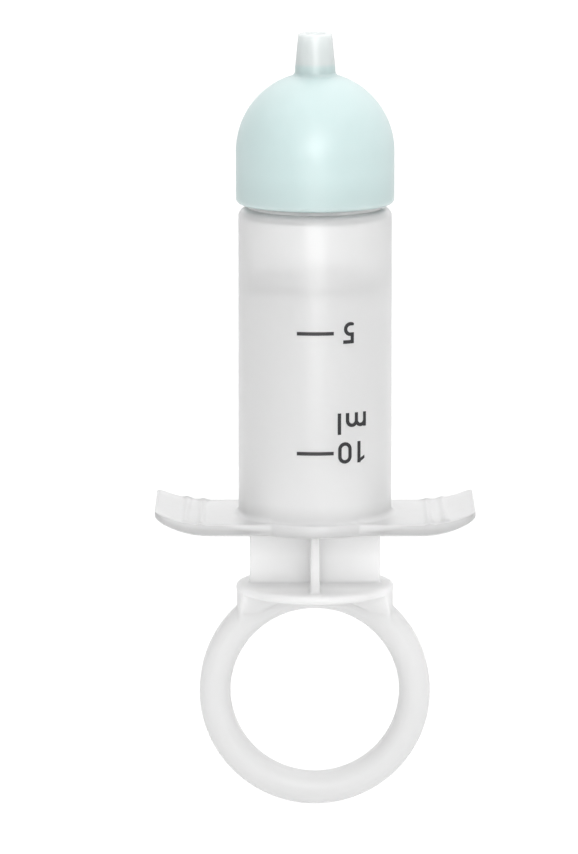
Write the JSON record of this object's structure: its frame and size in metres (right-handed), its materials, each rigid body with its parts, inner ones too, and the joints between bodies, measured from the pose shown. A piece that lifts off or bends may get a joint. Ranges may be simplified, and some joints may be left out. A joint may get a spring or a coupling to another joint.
{
  "type": "oral syringe",
  "caption": "Oral dosing syringe: frosted barrel with finger wings, soft domed nozzle that pulls off, and a ring-handled plunger with a wiper seal that slides and turns.",
  "frame": {"origin": "on the barrel's axis, level with the lowest point of the finger ring", "axes": "+Z along the barrel towards the nozzle; X across the finger wings and in the plane of the ring; the printed scale faces -Y"},
  "size_m": [0.0454, 0.0234, 0.111],
  "materials": {
    "frosted_plastic": "translucent natural polypropylene with a fine frosted surface",
    "mint_silicone": "translucent mint-green silicone, matt",
    "white_plastic": "milky natural polypropylene, satin",
    "clear_silicone": "milky translucent silicone",
    "black_ink": "printed black ink"
  },
  "bodies": {
    "plunger": {"plunger": "white_plastic"},
    "seal": {"piston_seal": "clear_silicone"},
    "barrel": {"barrel": "frosted_plastic", "graduation_lines": "black_ink", "scale_numerals": "black_ink"},
    "soft_nozzle": {"soft_nozzle": "mint_silicone"}
  },
  "joints": [
    {"name": "plunger_turn", "type": "hinge", "parent": "plunger", "child": "seal", "pos_m": [0, 0, 0.0757], "axis": [0, 0, 1], "continuous": true},
    {"name": "barrel_slide", "type": "slide", "parent": "seal", "child": "barrel", "axis": [0, 0, 1], "range_m": [-0.0084, 0.0312]},
    {"name": "nozzle_pull", "type": "slide", "parent": "barrel", "child": "soft_nozzle", "axis": [0, 0, 1], "range_m": [0, 0.022]}
  ]
}
